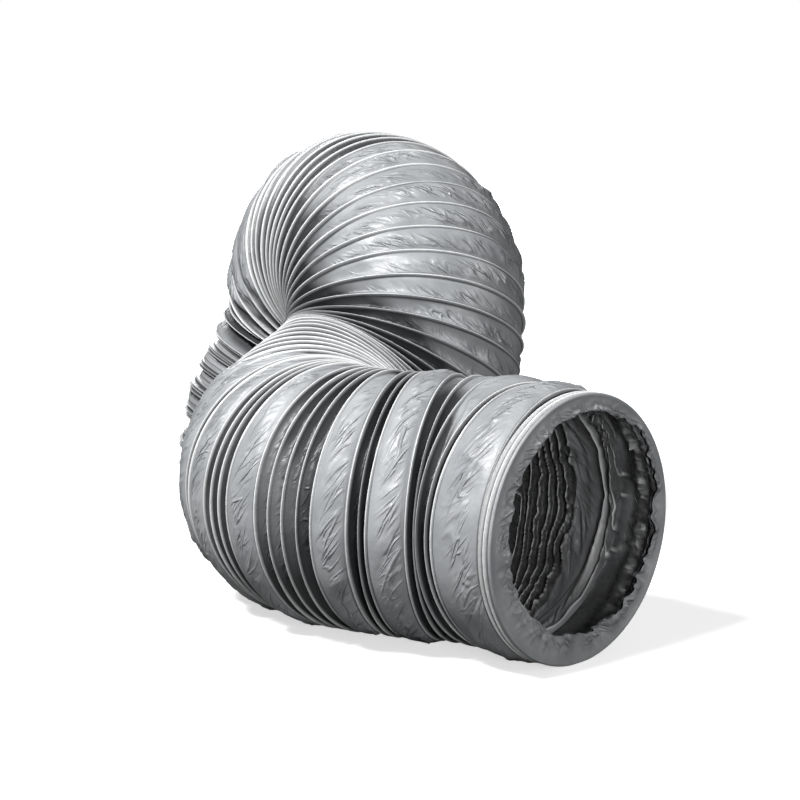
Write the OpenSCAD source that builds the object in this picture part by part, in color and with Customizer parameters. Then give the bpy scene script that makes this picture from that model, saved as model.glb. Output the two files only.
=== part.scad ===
// Flexible air duct: two plies of film wound round a helical spring wire,
// set up on its closed foot, arched over and laid down to an open mouth.
// Millimetres, +Z up, origin on the floor under the middle of the duct.

/* [Film and wire] */
// Bore of the plain cuffs at the two ends, for a 200 mm spigot
cuff_bore = 201; // [199:0.5:203]
// Thickness of the inner ply
inner_ply_t = 0.5; // [0.3:0.1:0.8]
// Clearance between the two plies
ply_gap = 0.3; // [0.2:0.05:0.5]
// Diameter of the spring wire
wire_d = 1; // [0.8:0.1:1.6]
// Clearance round the wire in its fold of film
wire_fit = 0.1; // [0.05:0.05:0.15]
// Thickness of the outer ply where it covers the wire
outer_ply_t = 0.7; // [0.6:0.1:1.2]
// Depth of the fold that closed film leaves between two turns
fold_depth = 6; // [3:0.5:7]
// Height of the pillow that film makes between two open turns
pillow_h = 3; // [0.5:0.5:5]
// How far the film hangs in between the half-drawn turns of the arch
arch_sag = 6; // [0:0.5:8]

/* [Turns] */
// Pitch of the turns at full stretch
full_pitch = 34; // [28:1:40]
// Pitch below which the film lies in closed folds
closed_pitch = 8; // [6:1:12]
// Pitch of the closed turns on the mouth's cuff
mouth_pitch = 4.5; // [3.5:0.5:5]
// Pitch of the closed turns on the foot's cuff
foot_pitch = 5; // [4:0.2:6]
// Distance from the duct's cut edges to the first turn
cut_inset = 3; // [2:0.5:4]
// Angle that the wire's last turn covers
wire_arc = 350; // [300:5:355]

/* [Ends and joints] */
// Length of the straight cuff at the mouth
mouth_len = 56; // [44:1:60]
// Length of the straight cuff at the foot
foot_len = 30; // [24:1:40]
// Height that the duct needs above the foot's cuff to straighten
foot_rise = 42; // [36:1:50]
// Gap between two sections of the duct
section_gap = 0.3; // [0.1:0.1:0.5]
// Depth of the flat that the floor presses into the lying turns
floor_flat = 0.4; // [0.2:0.1:0.5]

/* [Hidden] */
$fn = 96;

// Radii from the bore outwards: the wire lies between the plies
cuff_r = cuff_bore / 2;
wire_seat_r = cuff_r + inner_ply_t + ply_gap;
rib_r = wire_seat_r + wire_d + outer_ply_t;
seam_r = rib_r - fold_depth - outer_ply_t;
lining_r = seam_r - ply_gap;
axis_z = rib_r - floor_flat;

// Middle of the duct's footprint, which is moved to the origin
middle = [18.8, 7, 0];
// Route of the duct's axis from the mouth's cuff to the foot's cuff: control
// points of a cubic B-spline that starts at the first and ends at the last
route_points = [
    [116, -242, axis_z], [78, -206, axis_z], [2, -192, axis_z], [-45, -142, axis_z],
    [-59, -82, axis_z], [-42, -24, 112], [-4, 16, 132], [22, 38, 168],
    [28, 60, 210], [22, 99, 245], [-2, 152, 262], [-23, 204, 249],
    [-36, 246, 211], [-41, 267, 156], [-86, 259, foot_len + foot_rise], [-86, 259, foot_len]
];
route = [for (p = route_points) p - middle];

// Turns of the wire between the two cuffs, as [turns, gap ahead of each]
gaps = [
    [1, 3], [1, 7], [2, 21], [1, 19], [1, 30], [1, 4], [1, 6], [1, 17], [4, 7],
    [1, 18], [3, 7], [1, 19], [1, 6], [1, 23], [1, 21], [1, 18], [1, 16], [1, 13],
    [3, 12], [5, 11], [2, 12], [4, 13], [4, 15], [1, 13], [3, 9], [4, 12], [6, 26],
    [19, foot_pitch]
];

// Each section ends halfway to the next turn, after this many turns
mouth_bellows_end = 2;
neck_end = 3;
neck_bellows_end = 5;
run_end = 19;
bend_end = 27;
riser_end = 38;
crown_end = 42;
leg_end = 67;
foot_bellows_end = 75;

// Sides of a ring, spline steps in a span, and spacing of the rings of a plain wall
sides = 16;
spline_steps = 10;
plain_step = 36;

// ---- Route: points on the axis, their distance along it, and their frames ----
last = len(route) - 1;
function unit(v) = v / norm(v);
function spline_weights(t) = [
    pow(1 - t, 3), 3 * pow(t, 3) - 6 * t * t + 4, -3 * pow(t, 3) + 3 * t * t + 3 * t + 1, pow(t, 3)
] / 6;
controls = concat([2 * route[0] - route[1]], route, [2 * route[last] - route[last - 1]]);
axis_pts = concat(
    [for (i = [0:last], k = [0:spline_steps - 1]) if (i < last)
        let (w = spline_weights(k / spline_steps)) w * [for (c = [0:3]) controls[i + c]]],
    [route[last]]
);
n_axis = len(axis_pts);
axis_s = [for (i = 0, s = 0; i < n_axis; i = i + 1,
    s = i < n_axis ? s + norm(axis_pts[i] - axis_pts[i - 1]) : s) s];
route_len = axis_s[n_axis - 1];
axis_dir = [for (i = [0:n_axis - 1])
    unit(axis_pts[min(i + 1, n_axis - 1)] - axis_pts[max(i - 1, 0)])];
// A side vector carried along the route without twist, upright at the mouth
function square_to(v, dir) = unit(v - (v * dir) * dir);
axis_up = [for (i = 0, v = [0, 0, 1]; i < n_axis; i = i + 1,
    v = i < n_axis ? square_to(v, axis_dir[i]) : v) v];
function table(values) = [for (k = [0:2]) [for (i = [0:n_axis - 1]) [axis_s[i], values[i][k]]]];
point_table = table(axis_pts);
dir_table = table(axis_dir);
up_table = table(axis_up);
function at(tab, s) = [for (k = [0:2]) lookup(s, tab[k])];
// Curvature of the route: a vector that points at the centre of the bend
reach = 6;
function curve_at(s) =
    let (a = max(s - reach, 0), b = min(s + reach, route_len))
    (at(dir_table, b) - at(dir_table, a)) / (b - a);

// ---- Turns: their distance along the route; the gaps fill its whole length ----
gap_list = [for (g = gaps, k = [1:g[0]]) g[1]];
n_turns = len(gap_list);
gap_sums = [for (i = 0, s = gap_list[0]; i < n_turns; i = i + 1,
    s = i < n_turns ? s + gap_list[i] : s) s];
fill = route_len / (gap_sums[n_turns - 1] + foot_pitch / 2);
turn_s = [for (s = gap_sums) s * fill];
function section_s(i) =
    i == 0 ? 0 : i == n_turns ? route_len : (turn_s[i - 1] + turn_s[i]) / 2;

// ---- Rings: one ring of points round the axis at distance s ----
function spoke(s, j) =
    let (dir = unit(at(dir_table, s)), up = square_to(at(up_table, s), dir),
         a = 360 * (j + 0.5) / sides)
    cos(a) * up + sin(a) * cross(dir, up);
function on_floor(p) = [p[0], p[1], max(p[2], 0)];
function ring_point(s, m, r) = on_floor(at(point_table, s) + m * r / cos(180 / sides));
function plain_ring(s, r) = [for (j = [0:sides - 1]) ring_point(s, spoke(s, j), r)];
// Film between two turns: a fold where they lie close, a pillow where they stand open
film_table = [
    [closed_pitch, -fold_depth], [full_pitch / 2, 0], [full_pitch * 0.8, pillow_h],
    [full_pitch, pillow_h * 0.7]
];
// The film fills out on the lying run, and hangs in on the arch where its turns are less
// than three quarters drawn; the bend lies between the two
function sag(s, local_pitch) =
    lookup(s, [[section_s(run_end), 0], [section_s(bend_end), arch_sag]])
    * lookup(local_pitch, [[full_pitch * 0.55, 1], [full_pitch * 0.75, 0]]);
// A bend shortens the pitch along the spokes that lean to its inner side
function film_r(s, m, pitch) =
    let (local_pitch = pitch * (1 - (m * curve_at(s)) * rib_r))
    rib_r + max(lookup(local_pitch, film_table) - sag(s, local_pitch), -fold_depth);
function film_ring(s, pitch) =
    [for (j = [0:sides - 1]) let (m = spoke(s, j)) ring_point(s, m, film_r(s, m, pitch))];

// ---- Shells: closed between an outer and an inner stack of rings ----
function band(a, b) = [for (j = [0:sides - 1]) let (k = (j + 1) % sides)
    each [[a + j, b + j, b + k], [a + j, b + k, a + k]]];
function inside_out(faces) = [for (f = faces) [f[2], f[1], f[0]]];
module shell(outer, inner) {
    top = (len(outer) - 1) * sides;
    inner_start = top + sides;
    inner_top = inner_start + (len(inner) - 1) * sides;
    points = [for (ring = concat(outer, inner), p = ring) p];
    faces = concat(
        [for (a = [0:sides:top - 1]) each band(a, a + sides)],
        [for (a = [inner_start:sides:inner_top - 1]) each inside_out(band(a, a + sides))],
        band(inner_start, 0),
        band(top, inner_top)
    );
    polyhedron(points, faces, convexity = 8);
}
function wall_stations(i, k) =
    let (a = section_s(i) + section_gap / 2, b = section_s(k) - section_gap / 2,
         n = ceil((b - a) / plain_step))
    [for (c = [0:n]) a + (b - a) * c / n];

// Ribbed outer ply from the section limit i to the limit k: a rib round each turn
module ribbed_ply(i, k) {
    wall = wall_stations(i, k);
    outer = concat(
        [film_ring(wall[0], turn_s[i] - turn_s[max(i - 1, 0)])],
        [for (n = [i:k - 1]) each concat(
            [plain_ring(turn_s[n], rib_r)],
            n < k - 1 ? [film_ring((turn_s[n] + turn_s[n + 1]) / 2, turn_s[n + 1] - turn_s[n])] : []
        )],
        [film_ring(wall[len(wall) - 1], turn_s[min(k, n_turns - 1)] - turn_s[k - 1])]
    );
    shell(outer, [for (s = wall) plain_ring(s, seam_r)]);
}
// Plain inner ply of the same section
module lining_ply(i, k) {
    wall = wall_stations(i, k);
    color("SlateGray") shell(
        [for (s = wall) plain_ring(s, lining_r)],
        [for (s = wall) plain_ring(s, lining_r - inner_ply_t)]
    );
}

// ---- Cuffs: turned about +Z, from the cut edge at z = 0 into the duct ----
rib_h = wire_d + outer_ply_t;
pocket_h = wire_d + 2 * wire_fit;
rib_foot = pocket_h / 2 + outer_ply_t;
module cuff_outer_ply(length, turns, pitch) {
    ribs_end = cut_inset + (turns - 0.5) * pitch;
    plain_len = length - ribs_end - rib_foot;
    color("Gainsboro") rotate_extrude() difference() {
        union() {
            translate([wire_seat_r, 0]) square([outer_ply_t, length]);
            if (plain_len > pitch) translate([wire_seat_r, ribs_end]) square([rib_h, plain_len]);
            for (n = [0:turns - 1]) translate([wire_seat_r, cut_inset + n * pitch])
                polygon([[0, -rib_foot], [rib_h, -wire_d / 2], [rib_h, wire_d / 2], [0, rib_foot]]);
        }
        translate([cuff_r, cut_inset - pocket_h / 2])
            square([wire_seat_r + wire_d + wire_fit - cuff_r, pocket_h]);
    }
}
module cuff_inner_ply(length) {
    color("SlateGray") rotate_extrude() translate([cuff_r, 0]) square([inner_ply_t, length]);
}
// The wire's last turn, with the rest of the wire in the ribs behind it
module cuff_wire() {
    color("Silver") rotate_extrude(angle = wire_arc)
        translate([wire_seat_r + wire_d / 2, cut_inset]) circle(d = wire_d, $fn = 24);
}
module at_mouth() {
    out = unit(route[0] - route[1]);
    translate(route[0] + out * mouth_len) rotate([0, 0, atan2(out[1], out[0])])
        rotate([0, -90, 0]) children();
}
module at_foot() {
    translate([route[last][0], route[last][1], 0]) children();
}

// ---- Mouth ----
mouth_cuff_len = mouth_len - section_gap / 2;
module mouth_outer_ply() {
    color("Gainsboro") difference() {
        at_mouth() cuff_outer_ply(mouth_cuff_len, 3, mouth_pitch);
        translate([route[0][0], route[0][1], -rib_r]) cube([4 * rib_r, 4 * rib_r, 2 * rib_r], center = true);
    }
}
module mouth_inner_ply() { at_mouth() cuff_inner_ply(mouth_cuff_len); }
module mouth_wire_turn() { at_mouth() cuff_wire(); }
module mouth_bellows_outer() { color("WhiteSmoke") ribbed_ply(0, mouth_bellows_end); }
module mouth_bellows_inner() { lining_ply(0, mouth_bellows_end); }

// ---- Neck and front run, lying on the floor ----
module neck_outer_ply() { color("LightGray") ribbed_ply(mouth_bellows_end, neck_end); }
module neck_inner_ply() { lining_ply(mouth_bellows_end, neck_end); }
module neck_bellows_outer() { color("WhiteSmoke") ribbed_ply(neck_end, neck_bellows_end); }
module neck_bellows_inner() { lining_ply(neck_end, neck_bellows_end); }
module run_outer_ply() { color("LightGray") ribbed_ply(neck_bellows_end, run_end); }
module run_inner_ply() { lining_ply(neck_bellows_end, run_end); }

// ---- Bend, riser and crown, climbing off the floor ----
module bend_outer_ply() { color("Silver") ribbed_ply(run_end, bend_end); }
module bend_inner_ply() { lining_ply(run_end, bend_end); }
module riser_outer_ply() { color("LightGray") ribbed_ply(bend_end, riser_end); }
module riser_inner_ply() { lining_ply(bend_end, riser_end); }
module crown_bellows_outer() { color("WhiteSmoke") ribbed_ply(riser_end, crown_end); }
module crown_bellows_inner() { lining_ply(riser_end, crown_end); }

// ---- Leg and foot, coming down to stand on the duct's other end ----
module leg_outer_ply() { color("LightGray") ribbed_ply(crown_end, leg_end); }
module leg_inner_ply() { lining_ply(crown_end, leg_end); }
module foot_bellows_outer() { color("WhiteSmoke") ribbed_ply(leg_end, foot_bellows_end); }
module foot_bellows_inner() { lining_ply(leg_end, foot_bellows_end); }
foot_cuff_len = foot_len - section_gap / 2;
module foot_outer_ply() {
    at_foot() cuff_outer_ply(foot_cuff_len, floor((foot_cuff_len - cut_inset) / foot_pitch) + 1, foot_pitch);
}
module foot_inner_ply() { at_foot() cuff_inner_ply(foot_cuff_len); }
module foot_wire_turn() { at_foot() cuff_wire(); }

echo(route_len = route_len, turns = n_turns, fill = fill);

mouth_outer_ply();
mouth_inner_ply();
mouth_wire_turn();
mouth_bellows_outer();
mouth_bellows_inner();
neck_outer_ply();
neck_inner_ply();
neck_bellows_outer();
neck_bellows_inner();
run_outer_ply();
run_inner_ply();
bend_outer_ply();
bend_inner_ply();
riser_outer_ply();
riser_inner_ply();
crown_bellows_outer();
crown_bellows_inner();
leg_outer_ply();
leg_inner_ply();
foot_bellows_outer();
foot_bellows_inner();
foot_outer_ply();
foot_inner_ply();
foot_wire_turn();
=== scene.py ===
import math
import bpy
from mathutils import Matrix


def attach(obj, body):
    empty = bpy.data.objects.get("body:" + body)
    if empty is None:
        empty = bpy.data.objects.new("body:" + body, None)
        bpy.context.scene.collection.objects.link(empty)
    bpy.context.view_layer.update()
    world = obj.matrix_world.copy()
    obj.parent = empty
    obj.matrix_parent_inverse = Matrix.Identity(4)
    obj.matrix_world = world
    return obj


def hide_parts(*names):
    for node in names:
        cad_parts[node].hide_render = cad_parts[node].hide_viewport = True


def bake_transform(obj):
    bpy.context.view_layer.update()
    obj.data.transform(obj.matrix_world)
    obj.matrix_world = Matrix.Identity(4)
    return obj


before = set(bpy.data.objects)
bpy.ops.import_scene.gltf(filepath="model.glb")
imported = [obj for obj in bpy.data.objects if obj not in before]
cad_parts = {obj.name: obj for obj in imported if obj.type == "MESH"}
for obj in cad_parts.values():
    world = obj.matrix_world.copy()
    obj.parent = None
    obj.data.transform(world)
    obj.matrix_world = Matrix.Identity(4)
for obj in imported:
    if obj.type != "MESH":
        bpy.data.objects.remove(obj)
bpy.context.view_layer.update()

from types import SimpleNamespace

import bmesh
import bpy
import numpy as np

# ---- Camera ----
# A long lens two metres away, a little above the duct and square to its width. It looks
# down by 11 degrees.
camera = bpy.data.objects.new("camera", bpy.data.cameras.new("camera"))
bpy.context.scene.collection.objects.link(camera)
camera.data.lens = 115.1
camera.data.sensor_width = 36.0
camera.data.clip_end = 60.0
camera.location = (0.0022, -2.1378, 0.5612)
camera.rotation_euler = (math.radians(90 - 11), 0, 0)
bpy.context.scene.camera = camera
bpy.context.scene.view_settings.view_transform = "Standard"


# ---- Studio: floor and lights ----
# Pale matt paper on the floor of a white room, whiter away from the duct. A large soft lamp
# stands at the upper left, weaker ones in front, at the right and behind it.
def linear(hex_colour):
    """sRGB hex to linear RGBA."""
    c = np.array([int(hex_colour[i:i + 2], 16) for i in (1, 3, 5)]) / 255
    return (*np.where(c <= 0.04045, c / 12.92, ((c + 0.055) / 1.055) ** 2.4), 1.0)


def add_node(tree, kind, settings=None, links=None, **inputs):
    """Adds a node with its settings. Inputs are values by name; links are other nodes'
    sockets, or values where the input is known only by its number."""
    node = tree.nodes.new("ShaderNode" + kind)
    for key, value in (settings or {}).items():
        setattr(node, key, value)
    for key, value in inputs.items():
        node.inputs[key.replace("_", " ")].default_value = value
    for key, source in (links or {}).items():
        if isinstance(source, bpy.types.NodeSocket):
            tree.links.new(source, node.inputs[key])
        else:
            node.inputs[key].default_value = source
    return node


def new_material(name):
    material = bpy.data.materials.new(name)
    material.use_nodes = True
    material.node_tree.nodes.clear()
    return material, material.node_tree


def grid_faces(rows, columns):
    """Quads of a grid whose first edge runs along a row and whose second runs to the next row."""
    index = np.arange(rows * columns).reshape(rows, columns)
    return np.stack(
        [index[:-1, :-1], index[:-1, 1:], index[1:, 1:], index[1:, :-1]], -1
    ).reshape(-1, 4)


def surface(name, points, material, flip=False, merge=0.0, **attributes):
    """A smooth mesh from points on a grid in mm, with its float attributes. flip turns its
    faces round, and merge is the distance in metres at which its seam is welded."""
    rows, columns = points.shape[:2]
    faces = grid_faces(rows, columns)
    if flip:
        faces = faces[:, ::-1]
    mesh = bpy.data.meshes.new(name)
    mesh.vertices.add(rows * columns)
    mesh.vertices.foreach_set("co", (points.reshape(-1) / 1000).astype(np.float32))
    mesh.loops.add(faces.size)
    mesh.loops.foreach_set("vertex_index", faces.reshape(-1).astype(np.int32))
    mesh.polygons.add(len(faces))
    mesh.polygons.foreach_set("loop_start", np.arange(0, faces.size, 4, dtype=np.int32))
    for key, values in attributes.items():
        layer = mesh.attributes.new(key, "FLOAT", "POINT")
        layer.data.foreach_set("value", values.reshape(-1).astype(np.float32))
    mesh.update(calc_edges=True)
    if merge:
        bm = bmesh.new()
        bm.from_mesh(mesh)
        bmesh.ops.remove_doubles(bm, verts=bm.verts, dist=merge)
        bm.to_mesh(mesh)
        bm.free()
    mesh.polygons.foreach_set("use_smooth", np.ones(len(mesh.polygons), bool))
    mesh.materials.append(material)
    piece = bpy.data.objects.new(name, mesh)
    bpy.context.scene.collection.objects.link(piece)
    return piece


# The camera sees the paper glow more from half a metre to 1.7 m away from the duct; all
# other rays meet it as a plain grey that throws little light back
paper, tree = new_material("matt_white_paper")
place = add_node(tree, "TexCoord").outputs["Object"]
away = add_node(tree, "VectorMath", {"operation": "LENGTH"}, {0: place})
glow = add_node(tree, "MapRange", {"interpolation_type": "SMOOTHSTEP"}, {
    "Value": away.outputs["Value"]}, From_Min=0.5, From_Max=1.7, To_Min=0.62, To_Max=1.0)
path_kind = add_node(tree, "LightPath")
seen = add_node(tree, "BsdfDiffuse", Color=linear("#e6e6e6"))
lit = add_node(tree, "Emission", links={"Strength": glow.outputs[0]}, Color=linear("#ffffff"))
seen_paper = add_node(tree, "AddShader", links={0: seen.outputs[0], 1: lit.outputs[0]})
bounce = add_node(tree, "BsdfDiffuse", Color=linear("#606060"))
either = add_node(tree, "MixShader", links={
    0: path_kind.outputs["Is Camera Ray"], 1: bounce.outputs[0], 2: seen_paper.outputs[0]})
add_node(tree, "OutputMaterial", links={"Surface": either.outputs[0]})

floor_lines = np.linspace(-6000, 6000, 13)
floor = np.stack(np.broadcast_arrays(floor_lines[None, :], floor_lines[:, None], 0.0), -1)
surface("paper_floor", floor, paper)


def soft_lamp(name, place, size, watts, aim_height=0.15):
    """A square lamp at a place in metres, turned to the duct at a height above the floor."""
    lamp = bpy.data.objects.new(name, bpy.data.lights.new(name, "AREA"))
    lamp.data.size = size
    lamp.data.energy = watts
    lamp.location = place
    towards = -lamp.location.copy()
    towards.z += aim_height
    lamp.rotation_euler = towards.to_track_quat("-Z", "Y").to_euler()
    bpy.context.scene.collection.objects.link(lamp)


soft_lamp("key_lamp", (-1.4, -1.2, 2.5), 0.6, 165)
soft_lamp("front_lamp", (0.7, -2.8, 0.8), 0.6, 22)
soft_lamp("side_lamp", (2.4, -1.6, 1.1), 0.5, 16)
soft_lamp("back_lamp", (-0.4, 3.0, 0.9), 0.9, 32)

world = bpy.data.worlds.new("white_room")
bpy.context.scene.world = world
world.use_nodes = True
tree = world.node_tree
tree.nodes.clear()
path_kind = add_node(tree, "LightPath")
seen_white = add_node(tree, "Math", {"operation": "MAXIMUM"}, {
    0: path_kind.outputs["Is Camera Ray"], 1: path_kind.outputs["Is Transmission Ray"]})
room_light = add_node(tree, "MapRange", links={"Value": seen_white.outputs[0]},
                      To_Min=0.07, To_Max=1.0)
room = add_node(tree, "Background", links={"Strength": room_light.outputs[0]},
                Color=linear("#ffffff"))
add_node(tree, "OutputWorld", links={"Surface": room.outputs[0]})


# ---- Outer ply: grey film wound round a steel wire ----
# Calendered PVC film, wound as one strip over a helix of spring wire and welded along it.
# It folds in where the turns lie close and fills out, full of creases, where they are
# drawn apart. Each section of it is one piece.
# Sizes in mm: the film where it is neither sunk nor filled out, the film over a wire, the
# weld on that, the two cuffs, and how far the route is carried on past its ends
film_radius, wire_cover, weld = 102.3, 103.1, 0.6
mouth_len, foot_len, route_lead = 56.0, 30.0, 60.0
# Columns of the grids, and the share of a lap after which turns are counted: at the front
columns, front_phase = 480, 0.25
route_points = np.array([
    (116, -242, 102.6), (78, -206, 102.6), (2, -192, 102.6), (-45, -142, 102.6),
    (-59, -82, 102.6), (-42, -24, 112), (-4, 16, 132), (22, 38, 168),
    (28, 60, 210), (22, 99, 245), (-2, 152, 262), (-23, 204, 249),
    (-36, 246, 211), (-41, 267, 156), (-86, 259, 72), (-86, 259, 30),
]) - (18.8, 7, 0)


def duct_route(points, lead, steps=80):
    """Axis as a uniform cubic B-spline through reflected end controls, and on past both
    ends, straight, by a lead: distances, points, directions, and an up vector carried
    along without twist."""
    controls = np.vstack([2 * points[0] - points[1], points, 2 * points[-1] - points[-2]])
    t = np.linspace(0, 1, steps, endpoint=False)[:, None]
    spans = [
        ((1 - t) ** 3 * a + (3 * t ** 3 - 6 * t * t + 4) * b
         + (-3 * t ** 3 + 3 * t * t + 3 * t + 1) * c + t ** 3 * d) / 6
        for a, b, c, d in zip(controls, controls[1:], controls[2:], controls[3:])
    ]
    axis = np.vstack(spans + [points[-1:]])
    first = (axis[0] - axis[1]) / np.linalg.norm(axis[0] - axis[1])
    final = (axis[-1] - axis[-2]) / np.linalg.norm(axis[-1] - axis[-2])
    extra = np.arange(1.0, lead + 1)[:, None]
    axis = np.vstack([(axis[0] + first * extra)[::-1], axis, axis[-1] + final * extra])
    s = np.concatenate([[0], np.cumsum(np.linalg.norm(np.diff(axis, axis=0), axis=1))]) - lead
    along = np.gradient(axis, s, axis=0)
    along /= np.linalg.norm(along, axis=1)[:, None]
    up = np.empty_like(along)
    carried = np.array([0.0, 0.0, 1.0])
    for i, d in enumerate(along):
        carried = carried - carried.dot(d) * d
        carried /= np.linalg.norm(carried)
        up[i] = carried
    return s, axis, along, up


route_s, route_axis, route_dir, route_up = duct_route(route_points, route_lead)
route_len = route_s[-1] - route_lead
bend_of = np.gradient(route_dir, route_s, axis=0)
nearby = np.ones(15) / 15
bend_of = np.stack([np.convolve(bend_of[:, k], nearby, "same") for k in range(3)], 1)


def along_route(table, s):
    """A table of vectors along the route, read at distances s."""
    return np.stack([np.interp(s, route_s, table[:, k]) for k in range(3)], -1)


def spokes(s, phi):
    """Unit vectors from the axis to the wall; phi is 0 below and grows towards the front."""
    d, up = along_route(route_dir, s), along_route(route_up, s)
    d /= np.linalg.norm(d, axis=-1, keepdims=True)
    up = up - (up * d).sum(-1, keepdims=True) * d
    up /= np.linalg.norm(up, axis=-1, keepdims=True)
    return -np.cos(phi)[..., None] * up - np.sin(phi)[..., None] * np.cross(d, up)


def ramp(x, start, length):
    """0 up to start and 1 from a length past it, straight between; a negative length runs
    the other way."""
    return np.clip((x - start) / length, 0, 1)


def plateau(x, start, end, rise, fall):
    """1 between start and end, with straight slopes of these lengths just inside them."""
    return ramp(x, start, rise) * ramp(x, end, -fall)


def bell(x, centre, width):
    """1 at the centre, falling off on both sides as exp(-(distance / width) ** 2)."""
    return np.exp(-((x - centre) / width) ** 2)


def smooth_step(x):
    return x * x * (3 - 2 * x)


# Gaps between the turns, as their size in mm and how many there are, from the mouth's cuff
# to the foot's, where half a closed gap is left over. The cuffs have closed turns of their own
gap_groups = [
    (1, 3), (1, 7), (2, 21), (1, 19), (1, 30), (1, 4), (1, 6), (1, 17), (4, 7),
    (1, 18), (3, 7), (1, 19), (1, 6), (1, 23), (1, 21), (1, 18), (1, 16), (1, 13),
    (3, 12), (5, 11), (2, 12), (4, 13), (4, 15), (1, 13), (3, 9), (4, 12), (6, 26), (19, 5),
]
left_over = 2.5
gaps = np.concatenate([np.full(count, gap, float) for count, gap in gap_groups])
turns = len(gaps)
turn_s = np.cumsum(gaps) * route_len / (gaps.sum() + left_over)
mouth_rings = np.array([3.0, 7.5, 12.0]) - mouth_len
foot_rings = route_len + np.arange(2.0, 28, 5)
knots = np.concatenate([mouth_rings[-1:], turn_s, foot_rings[:1]])


def turn_place(turn):
    """Where the wire is after a number of turns: each gap is taken up with a smooth step."""
    n = np.clip(turn + 1, 0, turns + 1)
    whole = np.minimum(np.floor(n).astype(int), turns)
    part = n - whole
    return knots[whole] + (knots[whole + 1] - knots[whole]) * part * part * (3 - 2 * part)


# First and last turn of the closed stack above the foot, and how many turns make a bundle
stack_first, stack_final, bundle = 54.5, 75, 3


def bundled(turn):
    """How far a turn belongs to the closed stack above the foot, from 0 to 1."""
    return plateau(turn, stack_first, stack_final, 2, 2)


# How far the far side of each of the first turns leans away from the mouth, in mm
lean_at_turn = ([-1, -0.5, 0.5, 1.5, 2.5, 3.5, 4.5, 5.5, 6.5, 7.5, 9.5, 14],
                [0, 9, -10, -16, 9, -7, -15, -11, -12, -13, -9, 0])
# Size, waves for each turn and phase of the wire's sway
sways = ((0.5, 0.83, 0.7), (0.35, 1.93, 2.1), (0.25, 3.1, 0.0))


def wire_place(winding, phi):
    """Distance of the wire along the route: its even winding, a sway of three sines, a lean
    that grows from the front to the far side, and in the closed stack a sine over three
    turns, which gathers them in bundles of three."""
    turn = winding + phi / (2 * np.pi) - front_phase
    far = (1 - np.cos(phi - np.pi / 2)) / 2
    lean = np.interp(turn, *lean_at_turn)
    angle = 2 * np.pi * winding + phi
    near = np.interp(turn, np.arange(turns), gaps)
    sway = sum(size * np.sin(rate * angle + phase) for size, rate, phase in sways)
    ends = plateau(turn, -1, turns, 2, 2)
    return (turn_place(turn) + sway * ends * np.minimum(0.11 * near, 1.3) + far * lean
            + 1.2 * bundled(turn) * np.sin(2 * np.pi * turn / bundle))


def lattice(ix, iy, seed):
    """A fixed pseudo-random value from 0 to 1 at each whole-number place: an integer hash."""
    h = (ix.astype(np.int64) * 374761393 + iy.astype(np.int64) * 668265263 + seed * 974634777)
    h = (h ^ (h >> 13)) & 0xFFFFFFFF
    h = (h * 1274126177) & 0xFFFFFFFF
    return ((h ^ (h >> 16)) & 0xFFFFFFFF) / 4294967295.0


def soft_noise(x, y, seed):
    """Smooth noise from -1 to 1: lattice values joined by smooth steps."""
    ix, iy = np.floor(x), np.floor(y)
    fx, fy = smooth_step(x - ix), smooth_step(y - iy)
    low = lattice(ix, iy, seed) * (1 - fx) + lattice(ix + 1, iy, seed) * fx
    high = lattice(ix, iy + 1, seed) * (1 - fx) + lattice(ix + 1, iy + 1, seed) * fx
    return 2 * (low * (1 - fy) + high * fy) - 1


def line_noise(along, grain, seed, row=0.0):
    """Smooth noise that changes only along the strip, over grains of so many mm."""
    return soft_noise(along / grain, along * 0 + row, seed)


def creases(along, across, lean, short, long, seed, thin=0.5):
    """Ridges from 0 to 1 that run across the strip, leaning by an angle in radians: each
    lies where smooth noise, with grains short by long mm, is less than thin from zero."""
    c, s = math.cos(lean), math.sin(lean)
    x, y = (along * c - across * s) / short, (along * s + across * c) / long
    noise = soft_noise(x, y, seed) + 0.45 * soft_noise(2.1 * x + 5, 1.6 * y + 3, seed + 7)
    return np.maximum(1 - np.abs(noise) / thin, 0) ** 1.3


# Depth of the film, in mm out from film_radius, where the wires are so many mm apart
depth_at_width = ([0, 2, 5, 8, 12, 16, 19, 23, 30, 42],
                  [-1, -3, -5.5, -7.5, -6.2, -2.8, 0.6, 2.6, 3.5, 3.0])
# Where along the route the film starts to hang, over how many mm the hang grows, and the
# depth that it doesn't pass
hang_start, hang_growth, deepest = 231, 120, -7.8
# Height, lean, width, length, seed and thinness of the creases on slack film
slack_creases = ((1.0, -1.12, 9.0, 44, 21, 0.42), (0.6, -0.8, 7.5, 26, 22, 0.4),
                 (0.2, 0.35, 9.0, 14, 23, 0.4))


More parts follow.
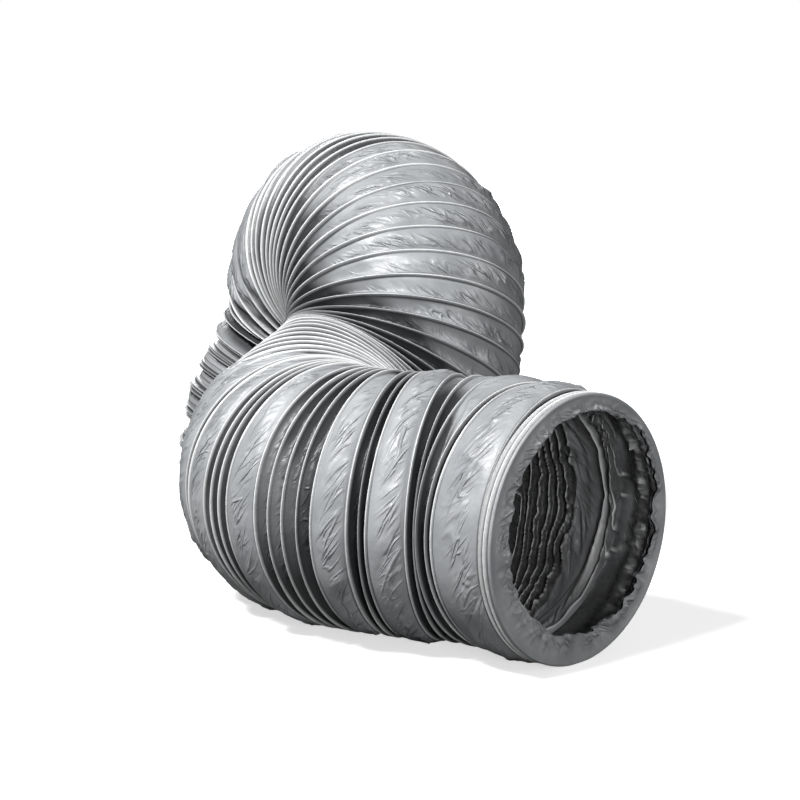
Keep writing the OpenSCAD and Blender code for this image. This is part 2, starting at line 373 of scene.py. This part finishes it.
def strip_form(winding, t, phi):
    """What both plies share between the wire of one turn (t = 0) and the next (t = 1). The
    film is an arch, 1 - |x| ** power, of a depth that comes from the real spacing of the
    two wires there, and the crease down its middle, where it folds when the duct is
    closed, stays crumpled. In the arch of the duct the folds hang lower and lean over."""
    s_a, s_b = wire_place(winding, phi), wire_place(winding + 1, phi)
    s = s_a + (s_b - s_a) * t
    spoke = spokes(s, phi)
    shorten = 1 - film_radius * (spoke * along_route(bend_of, s)).sum(-1)
    width = np.maximum((s_b - s_a) * np.maximum(shorten, 0.02), 0.05)
    along = film_radius * (2 * np.pi * winding + phi)
    turn = winding + t + phi / (2 * np.pi) - front_phase
    gathered = bundled(turn)
    arched = ramp(s, hang_start, hang_growth) * ramp(width, 0, 8)
    hang = arched * ramp(width, 25, -6)

    depth = np.interp(width, *depth_at_width)
    depth = np.maximum(depth - 6.5 * hang, deepest) * (1 - gathered)
    depth = depth * (1 + 0.2 * line_noise(along, 21, 3, 0.5)) + 0.5 * line_noise(along, 60, 5)
    middle = 0.5 - 0.10 * hang + 0.07 * line_noise(along, 33, 11, 0.3)
    share = np.where(t < middle, 0.5 * t / middle, 1 - 0.5 * (1 - t) / (1 - middle))
    power = np.interp(depth, [-4, 1], [1.6, 2.5])
    arch = 1 - np.abs(2 * share - 1) ** power
    across = (share - 0.5) * width

    hold = (4 * t * (1 - t)) ** 0.7
    slack = np.interp(width, [6, 10, 16, 24], [0.0, 0.5, 1.3, 1.8])
    patch = 0.75 + 0.5 * np.clip(soft_noise(along / 46, across / 25, 31), -0.8, 1)
    spine = 0.40 + 0.12 * line_noise(along, 28, 33)
    crumple = bell(share, spine, 0.25) * hold * patch
    field = sum(height * creases(along, across, *crease) for height, *crease in slack_creases)
    wrinkle = slack * crumple * (field - 0.3)
    wide = ramp(width, 12, 8)
    wrinkle += 0.7 * wide * hold * (creases(along, across, -1.2, 17, 60, 24, 0.9) - 0.3)

    from_wire = np.minimum(t, 1 - t) * width
    return SimpleNamespace(
        s=s, spoke=spoke, t=t, phi=phi, width=width, along=along, across=across, turn=turn,
        gathered=gathered, arched=arched, depth=depth, share=share, arch=arch, wide=wide,
        wrinkle=wrinkle, from_wire=from_wire, dents=0.55 * soft_noise(along / 85, s / 30, 41),
        crumpled=ramp(slack * crumple, 0.08, 1),
        # A line painted along each wire: a highlight on the outer ply, shade on the lining
        painted_lines=bell(from_wire, 0, 0.5 * np.clip(width / 15, 0.4, 1)))


def outer_film(f):
    """The outer ply from a strip's form: distances, radii, spokes, and maps of painted light
    and bumps. The wire stands out under it as a narrow bell, and each bundle of closed turns
    ends in a valley."""
    close = np.clip(f.width / 9, 0.6, 1)
    crest = bell(f.from_wire, 0, 0.72 * close)
    groove = 0.8 * f.wide * bell(f.from_wire, 2.0, 1.0)
    valley = f.gathered * bell(f.turn / bundle, np.round(f.turn / bundle), 0.17)
    pleat = f.gathered * np.abs(np.sin(2 * np.pi * f.t))
    r = film_radius + f.depth * f.arch + f.wrinkle + f.dents - groove
    r = r + 1.2 * f.gathered - 5.5 * valley - 2.2 * pleat
    r = r + (wire_cover - film_radius + weld) * crest

    # Shade: folds between tight turns, a line beside each wire, and below the arch's wires
    bent = np.maximum(plateau(f.s, 215, 350, 30, 20), ramp(f.s, 500, 20))
    tight = np.interp(f.width - 4.5 * bent, [0, 13, 16, 20], [1, 1, 0.35, 0.05])
    sunk = ramp(f.depth * f.arch, 0, -6.5) * tight
    sunk = np.maximum(sunk, 0.85 * bell(f.from_wire, 1.7 * close, 0.55))
    sunk = np.maximum(sunk, tight * np.clip((f.from_wire - 0.4 * close) / 0.5, 0, 0.95))
    sunk = np.maximum(sunk, 0.95 * f.arched * bell((1 - f.t) * f.width, 1.6, 0.75))
    # Painted shade in the fold colour also fills the closed stack's pleats and valleys
    stacked = np.maximum(0.4 * f.gathered + 0.55 * pleat, valley)
    sunk = np.maximum(sunk * (1 - f.gathered), stacked)
    # Painted highlight in the edge colour: a line on each wire and the middle of each fold in the
    # closed stack, less in its valleys
    painted_lines = np.maximum(f.painted_lines, 0.8 * f.gathered * bell((f.t - 0.5) * f.width, 0, 0.6))
    painted_lines = painted_lines * (1 - 0.8 * valley) * (1 - 0.6 * f.gathered)
    painted_light_and_bumps = dict(crest=painted_lines, sunk=sunk, slack=f.crumpled, along_mm=f.along, across_mm=f.across)
    return f.s, r, f.spoke, painted_light_and_bumps


def on_route(s, r, spoke, lowest=0.0):
    """Points at radius r from the axis, none lower than the floor or a little above it. The
    closed turns above the foot are a few millimetres out of line, as a slack stack stands."""
    points = along_route(route_axis, s) + r[..., None] * spoke
    slip = plateau(s, 700, route_len, 60, 25)
    points[..., 0] += slip * (2.8 * np.sin(s / 4.6) + 2.0 * np.sin(s / 11.3 + 1))
    points[..., 1] += slip * (2.4 * np.sin(s / 5.3 + 2) + 1.6 * np.sin(s / 14.1))
    points[..., 2] = np.maximum(points[..., 2], lowest)
    return points


def strip_rows(first, final, per_turn, crowding=0.3):
    """Windings and shares of the strip for rows between two windings, closer at the wires."""
    rows = np.arange(round((final - first) * per_turn) + 1) / per_turn + first
    winding = np.floor(rows + 1e-9)
    u = np.clip(rows - winding, 0, 1)
    t = (u - crowding * np.sin(2 * np.pi * u) / (2 * np.pi)
         - crowding * np.sin(4 * np.pi * u) / (4 * np.pi))
    return winding[:, None], t[:, None]


def one_lap(around):
    """Angles round the duct as a row, the last one on the first."""
    return np.linspace(0, 2 * np.pi, around + 1)[None, :]


def film_strip(ply, first, final, per_turn, around, skip=0):
    """A ply from one winding to another on a grid of rows along the wire and columns round,
    without the first rows that are skipped."""
    winding, t = (rows[skip:] for rows in strip_rows(first, final, per_turn))
    return ply(strip_form(*np.broadcast_arrays(winding, t, one_lap(around))))


# Lean, width, length and height of the creases too fine for the mesh
fine_strokes = ((-1.12, 10, 70, 1.0), (-0.85, 9, 40, 0.6))


def pvc_film(name, pale, dark, fold, edge, gloss_low, gloss_high, fold_from=0.2):
    """Calendered PVC: satin, a little cloudy, with light and shade painted into its colour:
    the fold colour where the sunk attribute is, the edge colour along the crest attribute.
    The scale of each noise is 1000 over the size of its grains in mm."""
    material, tree = new_material(name)
    place = add_node(tree, "TexCoord").outputs["Object"]
    sunk = add_node(tree, "Attribute", {"attribute_name": "sunk"})
    crest = add_node(tree, "Attribute", {"attribute_name": "crest"})
    slack = add_node(tree, "Attribute", {"attribute_name": "slack"})
    clouds = add_node(tree, "TexNoise", links={"Vector": place},
                      Scale=1000 / 38, Detail=3.0, Roughness=0.55)
    tone = add_node(tree, "ValToRGB", links={"Fac": clouds.outputs["Fac"]})
    tone.color_ramp.elements[0].position = 0.35
    tone.color_ramp.elements[0].color = linear(dark)
    tone.color_ramp.elements[1].position = 0.68
    tone.color_ramp.elements[1].color = linear(pale)
    # Painted light and shade: the fold colour is mixed in where the sunk attribute is
    in_fold = add_node(tree, "MapRange", links={"Value": sunk.outputs["Fac"]},
                       From_Min=fold_from)
    toned = add_node(tree, "Mix", {"data_type": "RGBA"}, {
        0: in_fold.outputs[0], 6: tone.outputs["Color"], 7: linear(fold)})
    # Painted light and shade in the edge colour along the crest attribute, made patchy by the scuffs
    # noise, which also varies the gloss
    scuffs = add_node(tree, "TexNoise", links={"Vector": place},
                      Scale=1000 / 3, Detail=4.0, Roughness=0.6)
    line_patchiness = add_node(tree, "MapRange", links={"Value": scuffs.outputs["Fac"]},
                       From_Min=0.42, From_Max=0.7, To_Min=0.75, To_Max=1.0)
    painted_line_mix = add_node(tree, "Math", {"operation": "MULTIPLY"}, {
        0: line_patchiness.outputs[0], 1: crest.outputs["Fac"]})
    colour = add_node(tree, "Mix", {"data_type": "RGBA"}, {
        0: painted_line_mix.outputs[0], 6: toned.outputs[2], 7: linear(edge)})
    gloss = add_node(tree, "MapRange", links={"Value": scuffs.outputs["Fac"]},
                     From_Min=0.3, From_Max=0.7, To_Min=gloss_low, To_Max=gloss_high)

    # Fine strokes that lean across the strip where it is slack, each a line where noise is 0.5
    strip = add_node(tree, "CombineXYZ", links={
        0: add_node(tree, "Attribute", {"attribute_name": "along_mm"}).outputs["Fac"],
        1: add_node(tree, "Attribute", {"attribute_name": "across_mm"}).outputs["Fac"]})
    heights = []
    for lean, short, long, high in fine_strokes:
        turned = add_node(tree, "Mapping", {"vector_type": "TEXTURE"}, {"Vector": strip.outputs[0]},
                          Rotation=(0, 0, -lean), Scale=(short, long, 1))
        wander = add_node(tree, "TexNoise", {"noise_dimensions": "2D"},
                          {"Vector": turned.outputs[0]}, Scale=1.0, Detail=1.0, Distortion=0.5)
        off_line = add_node(tree, "Math", {"operation": "SUBTRACT"}, {
            0: wander.outputs["Fac"], 1: 0.5})
        size = add_node(tree, "Math", {"operation": "ABSOLUTE"}, {0: off_line.outputs[0]})
        stroke = add_node(tree, "MapRange", {"interpolation_type": "SMOOTHSTEP"}, {
            "Value": size.outputs[0]}, From_Max=0.09, To_Min=high, To_Max=0.0)
        heights.append(stroke.outputs[0])
    height = add_node(tree, "Math", {"operation": "MAXIMUM"}, dict(enumerate(heights)))
    shown = add_node(tree, "Math", {"operation": "MULTIPLY"}, {
        0: height.outputs[0], 1: slack.outputs["Fac"]})
    creased = add_node(tree, "Bump", links={"Height": shown.outputs[0]},
                       Strength=1.0, Distance=0.0017)
    ripple = add_node(tree, "TexNoise", links={"Vector": place},
                      Scale=1000 / 7, Detail=2.0, Roughness=0.55)
    rippled = add_node(tree, "Bump", links={
        "Height": ripple.outputs["Fac"], "Normal": creased.outputs[0]},
        Strength=0.3, Distance=0.0012)
    # Calender grain is about 0.2 mm; drawn at 0.9 mm so that it shows
    grain = add_node(tree, "TexNoise", links={"Vector": place},
                     Scale=1000 / 0.9, Detail=1.0, Roughness=0.55)
    grained = add_node(tree, "Bump", links={
        "Height": grain.outputs["Fac"], "Normal": rippled.outputs[0]},
        Strength=0.1, Distance=0.0002)
    skin = add_node(tree, "BsdfPrincipled", links={
        "Base Color": colour.outputs[2], "Roughness": gloss.outputs[0],
        "Normal": grained.outputs[0]}, IOR=1.53)
    add_node(tree, "OutputMaterial", links={"Surface": skin.outputs[0]})
    return material


# Painted shade in the fold colour, near black, and a painted highlight in the edge colour, near
# white
outer_pvc = pvc_film("calendered_grey_pvc", pale="#9a9c9e", dark="#85878a", fold="#1e2022",
                     edge="#eceded", gloss_low=0.4, gloss_high=0.54)

# The places where the duct flexes: body before, body after, and where it starts and ends
mouth_flex = ("mouth", "neck", -41.0, 3.0)
neck_flex = ("neck", "front", 38.0, 86.0)
crown_flex = ("front", "leg", 485.0, 540.5)
foot_flex = ("leg", "foot", 838.6, 872.5)


def hang_on(piece, flex_or_body):
    if isinstance(flex_or_body, str):
        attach(piece, flex_or_body)
        return
    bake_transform(piece)
    s = np.empty(len(piece.data.vertices), np.float32)
    piece.data.attributes["route_s"].data.foreach_get("value", s)


def film_piece(name, node, grid, material, holder, inner=False, lining_lift=1.3):
    """Makes one section of a ply from its grid and hangs it on a body; at a flexing place it
    only bakes its placement in. Over the floor the lining is lifted by some mm, off the
    outer ply."""
    s, r, spoke, painted_light_and_bumps = grid
    points = on_route(s, r, spoke, lining_lift if inner else 0.0)
    piece = surface(name, points, material, flip=inner, merge=1e-6, route_s=s, **painted_light_and_bumps)
    hang_on(piece, holder)
    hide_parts(node)
    return piece


# Piece, its node, first and last winding, rows for each turn, and what it hangs on
outer_sections = [
    ("mouth_bellows_film", "mouth_bellows_outer", -0.5, 1.5, 24, mouth_flex),
    ("neck_film", "neck_outer_ply", 1.5, 2.5, 24, neck_flex),
    ("neck_bellows_film", "neck_bellows_outer", 2.5, 4.5, 24, neck_flex),
    ("run_film_near", "run_outer_ply", 4.5, 11.5, 22, neck_flex),
    ("run_film_far", "run_outer_ply", 11.5, 18.5, 22, "front"),
    ("bend_film", "bend_outer_ply", 18.5, 26.5, 17, "front"),
    ("riser_film_low", "riser_outer_ply", 26.5, 32.5, 20, "front"),
    ("riser_film_high", "riser_outer_ply", 32.5, 37.5, 20, crown_flex),
    ("crown_film", "crown_bellows_outer", 37.5, 41.5, 20, crown_flex),
    ("leg_film_top", "leg_outer_ply", 41.5, 48.5, 15, crown_flex),
    ("leg_film_middle", "leg_outer_ply", 48.5, 55.5, 15, "leg"),
    ("leg_film_low", "leg_outer_ply", 55.5, 66.5, 12, foot_flex),
    ("foot_bellows_film", "foot_bellows_outer", 66.5, 74.5, 12, foot_flex),
]
for name, node, first, final, per_turn, holder in outer_sections:
    around = 384 if first > stack_first else columns
    grid = film_strip(outer_film, first, final, per_turn, around)
    film_piece(name, node, grid, outer_pvc, holder)


# ---- Mouth: cut end with its wire turned in ----
# The film is folded in round the last turn of the wire to a smooth ring, whose loose inner
# edge is crumpled; two more turns lie close behind it. Sizes in mm.
ring_fold, rim_round = 2.4, 1.5
edge_middle, face_outside = 92, 101.2


def closed_rings(places, rows, phi):
    """Wall between rings of wire that lie square to the axis, past the first of them: the
    film sinks between two rings as (4 t (1 - t)) ** 0.8 and stands out over each."""
    s = np.linspace(places[0], places[-1], rows)[1:, None] + 0 * phi
    near = np.searchsorted(places, s[:, 0]).clip(1, len(places) - 1)
    t = ((s[:, 0] - places[near - 1]) / (places[near] - places[near - 1])).clip(0, 1)[:, None]
    crest = bell(np.abs(s[..., None] - places).min(-1), 0, 1.15)
    r = film_radius + 1.05 * crest - ring_fold * (4 * t * (1 - t)) ** 0.8
    # The crest bell also paints a highlight on each ring in the edge colour, and sunk paints shade
    # in the fold colour where the film sinks between rings
    sunk = np.clip((film_radius - r) / ring_fold, 0, 0.9)
    return s, r, dict(crest=crest, sunk=sunk, along_mm=film_radius * phi, across_mm=s)


def join_rows(phi, parts, painted_light_and_bump_kinds):
    """One grid from parts that follow each other along the duct. A part starts with its
    distances and radii and ends with its maps of painted light and bumps, where a kind that
    is missing is 0."""
    s = np.vstack([part[0] for part in parts])
    r = np.vstack([part[1] for part in parts])
    painted_light_and_bumps = {
        kind: np.vstack([np.broadcast_to(part[-1].get(kind, 0.0), part[0].shape) for part in parts])
        for kind in painted_light_and_bump_kinds
    }
    return s, r, spokes(s, phi + 0 * s), painted_light_and_bumps


def seam_fade(phi, width=0.12):
    """1 round the duct, and 0 where a lap starts and ends, for noise that doesn't close there;
    it falls over a width in radians, here 12 mm."""
    return ramp(np.minimum(phi, 2 * np.pi - phi), 0, width)


def mouth_edge(phi):
    """The folded film's loose inner edge, as its radius and how far it curls: its width,
    widest below and in front, and noise, most ragged at the upper right."""
    width = 17.3 + 4.5 * np.cos(phi) + 3.5 * np.sin(phi)
    ragged = 0.7 + bell(phi, 4.1, 0.8) + 0.7 * bell(phi, 5.5, 0.4)
    along = film_radius * phi
    fade = phi / (2 * np.pi)

    def lap_noise(grain, seed):
        """Noise over one lap that fades into the noise before the lap, so that it closes."""
        first, again = (line_noise(x, grain, seed) for x in (along, along - 2 * np.pi * film_radius))
        return first * (1 - fade) + again * fade

    rag = ragged * (2.0 * lap_noise(17, 61) + 1.3 * lap_noise(7, 62) + 0.6 * lap_noise(3.5, 64))
    curl = ragged * (3.0 * lap_noise(13, 65) + 2.0 * lap_noise(5.5, 66))
    return film_radius - width + rag, curl


def mouth_outer(around):
    """Rows from the loose edge over the folded face, which is dished as a half sine, and
    over the rim to the helix's first turns."""
    phi = one_lap(around)
    along = film_radius * phi
    edge, curl = mouth_edge(phi)
    share = np.linspace(0, 1, 30)[:, None] ** 1.15
    face_r = edge + (face_outside - edge) * share
    across = face_r - edge_middle
    dish = 2.6 * np.sin(np.pi * share) ** 0.8
    seam = seam_fade(phi)
    pulled = creases(along, across, 0.5, 9, 26, 67) + 0.8 * creases(along, across, -0.4, 7, 12, 68)
    puffs = (1.0 * curl - 2.2 * seam * pulled) * np.sin(np.pi * share ** 0.5) ** 2
    rolled = bell(phi, 4.0, 0.75) * bell(share, 0.2, 0.16) * (2.4 + 0.9 * curl)
    face_s = -mouth_len + 0.7 + dish + curl * (1 - share) ** 3 + puffs - rolled
    loose = 0.8 * (seam * bell(share, 0.2, 0.3))
    turn = np.radians(np.linspace(100, 12, 9))[:, None]
    rim_s = mouth_rings[0] - 2.3 * np.sin(turn) + 0 * phi
    rim_r = 101.95 + rim_round * np.cos(turn) + 0 * phi
    return join_rows(phi, [
        (face_s, face_r, dict(slack=loose, along_mm=along, across_mm=across)),
        (rim_s, rim_r, dict(along_mm=along, across_mm=rim_s)),
        closed_rings(mouth_rings, 37, phi),
        film_strip(outer_film, -2, -0.5, 24, around, skip=1),
    ], ("crest", "sunk", "slack", "along_mm", "across_mm"))


film_piece("mouth_film", "mouth_outer_ply", mouth_outer(columns), outer_pvc, mouth_flex)


# ---- Foot: the cut end that the duct stands on ----
# Six turns of the wire lie closed here, and the film is folded in under the last of them.
foot_edge = 89.0


def foot_outer(around):
    """Rows from the helix's last turns over the closed turns and the rim to the folded edge
    on the floor, which sways by a few waves round it."""
    phi = one_lap(around)
    turn = np.radians(np.linspace(10, 100, 8))[:, None]
    rim_s = foot_rings[-1] + 2.7 * np.sin(turn) + 0 * phi
    rim_r = 101.8 + rim_round * np.cos(turn) + 0 * phi
    face_r = np.linspace(101.0, foot_edge, 10)[:, None] + 0.8 * np.sin(5 * phi) * np.sin(phi / 2)
    face_s = route_len + foot_len - 0.3 + 0 * face_r
    return join_rows(phi, [
        film_strip(outer_film, 74.5, 76, 8, around),
        closed_rings(foot_rings, 31, phi),
        (rim_s, rim_r, {}),
        (face_s, face_r, {}),
    ], ("crest", "sunk", "slack"))


film_piece("foot_film", "foot_outer_ply", foot_outer(columns), outer_pvc, foot_flex)


# ---- Inner ply: the lining ----
# A second, duller strip of the same film inside the wire, loose in its folds. A highlight
# is painted pale on the tips of its folds, and shade is painted dark between them and
# along the wire.
# Here the fold colour, near white, is the painted highlight, and the edge colour, near black, the
# painted shade
inner_pvc = pvc_film("dull_pvc_lining", pale="#9a9c9e", dark="#88898b", fold="#f4f5f5",
                     edge="#0e0f0f", gloss_low=0.34, gloss_high=0.5)


pleat_pitch = 4.4


def loose_pleats(s, phi):
    """How far the lining is pleated on the far wall of the neck and behind the mouth, the
    pleats' ridges, a bell at each pitch that strays with noise, and how far it is crumpled
    between those and its edge."""
    lap = film_radius * phi
    stray = 2.4 * soft_noise(lap / 24, s / 9, 55) + 0.6 * soft_noise(lap / 8, s / 6, 56)
    comb = (s + stray) / pleat_pitch
    ridge = bell(comb - np.floor(comb), 0.5, 0.11)
    seam = seam_fade(phi)
    far_wall = np.clip(0.3 - 2 * np.sin(phi), 0, 1)
    pleated = plateau(s, 22, 70, 4, 4) * far_wall * seam
    behind = plateau(s, -21, -5, 3, 3) * seam
    crumpled = (creases(lap, s, 0.5, 8, 16, 57, 0.35)
                + 0.8 * creases(lap, s, -0.6, 6, 12, 58, 0.3))
    return pleated, behind, ridge, crumpled * ramp(s, -30, -4) * seam


# How far inside film_radius the lining lies, in mm, and the least that it may
lining_gap, least_gap = 2.2, 1.7


def lining_film(f):
    """The inner ply from a strip's form: distances, radii, spokes, and maps of painted light
    and bumps. Its folds hang deeper than the outer ply's, with thin wavy edges, and it is
    nowhere further out than the least gap inside the film's arch. It has no bundles in the
    closed stack."""
    folded = ramp(f.depth, 0, -8)
    arch = 1 - np.abs(2 * f.share - 1) ** (1.15 + 1.2 * (1 - folded))
    slacker = 1 + 1.6 * np.clip(1 - f.s / 12, 0, 1)
    wave = line_noise(f.along, 15, 51) + 0.5 * line_noise(f.along, 6, 52)
    s = f.s + 2.0 * wave * arch * folded * ramp(f.width, 0, 6)
    reach = f.depth * np.where(f.depth < 0, 1.5, 0.8) * (1 + 0.12 * wave)
    reach = reach * (1 - 0.85 * plateau(s, -10, 18, 4, 4))
    free = film_radius - lining_gap + reach * arch - 1.6 * f.wrinkle * slacker + f.dents
    held = film_radius - least_gap + np.minimum(f.depth * arch + f.wrinkle, 2) + f.dents
    pleated, behind, ridge, crumpled = loose_pleats(s, f.phi)
    r = np.minimum(free, held) - (5.0 * pleated + 3.0 * behind) * ridge - 2.5 * crumpled

    loose = np.maximum(pleated, behind)
    tip = ramp(ridge, 0.75, 0.2)
    # Painted highlight in the fold colour: the inward middles of deep folds, the tips of the pleats
    # and the crumpled ridges
    sunk = ramp(f.depth, 0, -6) * arch ** 3
    sunk = np.maximum(sunk * (1 - loose), loose * tip)
    sunk = np.maximum(sunk, ramp(crumpled, 0.2, 1))
    # Painted shade in the edge colour: a band behind the mouth's loose edge, a line along the wire
    # and the gaps between pleat tips
    shaded = plateau(s, -33, -22, 2, 2)
    painted_lines = np.maximum(f.painted_lines * (1 - loose), (0.95 * pleated + 0.7 * behind) * (1 - tip))
    painted_light_and_bumps = dict(crest=np.maximum(painted_lines, shaded), sunk=sunk, slack=0.4 * f.crumpled,
                  along_mm=f.along, across_mm=f.across)
    return s, r, f.spoke, painted_light_and_bumps


# Piece, its node, first and last winding, rows for each turn, columns, and what it hangs on
inner_sections = [
    ("mouth_bellows_lining", "mouth_bellows_inner", -0.5, 1.5, 70, 384, mouth_flex),
    ("neck_lining", "neck_inner_ply", 1.5, 2.5, 140, 384, neck_flex),
    ("neck_bellows_lining", "neck_bellows_inner", 2.5, 4.5, 80, 384, neck_flex),
    ("run_lining", "run_inner_ply", 4.5, 18.5, 8, 256, neck_flex),
    ("bend_lining", "bend_inner_ply", 18.5, 26.5, 6, 256, "front"),
    ("riser_lining", "riser_inner_ply", 26.5, 37.5, 6, 192, crown_flex),
    ("crown_lining", "crown_bellows_inner", 37.5, 41.5, 6, 192, crown_flex),
    ("leg_lining", "leg_inner_ply", 41.5, 66.5, 6, 192, "leg"),
    ("foot_bellows_lining", "foot_bellows_inner", 66.5, 74.5, 6, 256, foot_flex),
]
for name, node, first, final, per_turn, around, holder in inner_sections:
    grid = film_strip(lining_film, first, final, per_turn, around)
    film_piece(name, node, grid, inner_pvc, holder, True)


def mouth_inner(around):
    """Rows from the loose edge back to the wall and along it to the helix's first turns."""
    phi = one_lap(around)
    along = film_radius * phi
    edge, curl = mouth_edge(phi)
    share = np.linspace(0, 1, 20)[:, None]
    across = 14 * share
    seam = seam_fade(phi)
    crinkled = (creases(along, across, 0.5, 11, 28, 71, 0.8)
                + 0.7 * creases(along, across, -0.6, 6, 14, 72))
    back_r = edge + (99.4 - edge) * share ** 0.8 - 3.0 * seam * crinkled * np.sin(np.pi * share)
    back_s = -mouth_len + 2.4 + 8.5 * share + curl * (1 - share) ** 3
    wall_s = mouth_rings[-1] + 0 * phi
    return join_rows(phi, [
        (back_s, back_r, dict(slack=seam, along_mm=along, across_mm=across)),
        (wall_s, 100.2 + 0 * phi, dict(slack=seam, along_mm=along, across_mm=across[-1])),
        film_strip(lining_film, -2, -1, 6, around, skip=1),
        film_strip(lining_film, -1, -0.5, 100, around, skip=1),
    ], ("crest", "sunk", "slack", "along_mm", "across_mm"))


def foot_inner(around):
    """Rows from the helix's last turns down the wall to the folded edge on the floor."""
    phi = one_lap(around)
    edge_s = route_len + foot_len - 1.2
    wall_s = np.linspace(foot_rings[0], edge_s, 14)[1:, None] + 0 * phi
    wall_r = np.interp(wall_s, [route_len + 18, edge_s], [99.8, foot_edge])
    return join_rows(phi, [
        film_strip(lining_film, 74.5, 76, 6, around),
        (wall_s, wall_r, {}),
    ], ("crest", "sunk", "slack"))


film_piece("mouth_lining", "mouth_inner_ply", mouth_inner(384), inner_pvc, mouth_flex, True)
film_piece("foot_lining", "foot_inner_ply", foot_inner(256), inner_pvc, foot_flex, True)


# ---- Wire: the last turns of the spring ----
# Drawn spring steel, 1 mm thick, left bright by the die, with fine marks on it. It is held
# in the folded film of the mouth and of the foot.
drawn_steel, tree = new_material("drawn_spring_steel")
place = add_node(tree, "TexCoord").outputs["Object"]
marks = add_node(tree, "TexNoise", links={"Vector": place},
                 Scale=1000 / 0.6, Detail=4.0, Roughness=0.55)
shade = add_node(tree, "ValToRGB", links={"Fac": marks.outputs["Fac"]})
shade.color_ramp.elements[0].color = linear("#8b8c8c")
shade.color_ramp.elements[1].color = linear("#b9babb")
polish = add_node(tree, "MapRange", links={"Value": marks.outputs["Fac"]},
                  To_Min=0.22, To_Max=0.42)
steel = add_node(tree, "BsdfPrincipled", links={
    "Base Color": shade.outputs["Color"], "Roughness": polish.outputs[0]}, Metallic=1.0)
add_node(tree, "OutputMaterial", links={"Surface": steel.outputs[0]})
for node in ("mouth_wire_turn", "foot_wire_turn"):
    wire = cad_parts[node]
    wire.data.materials.clear()
    wire.data.materials.append(drawn_steel)
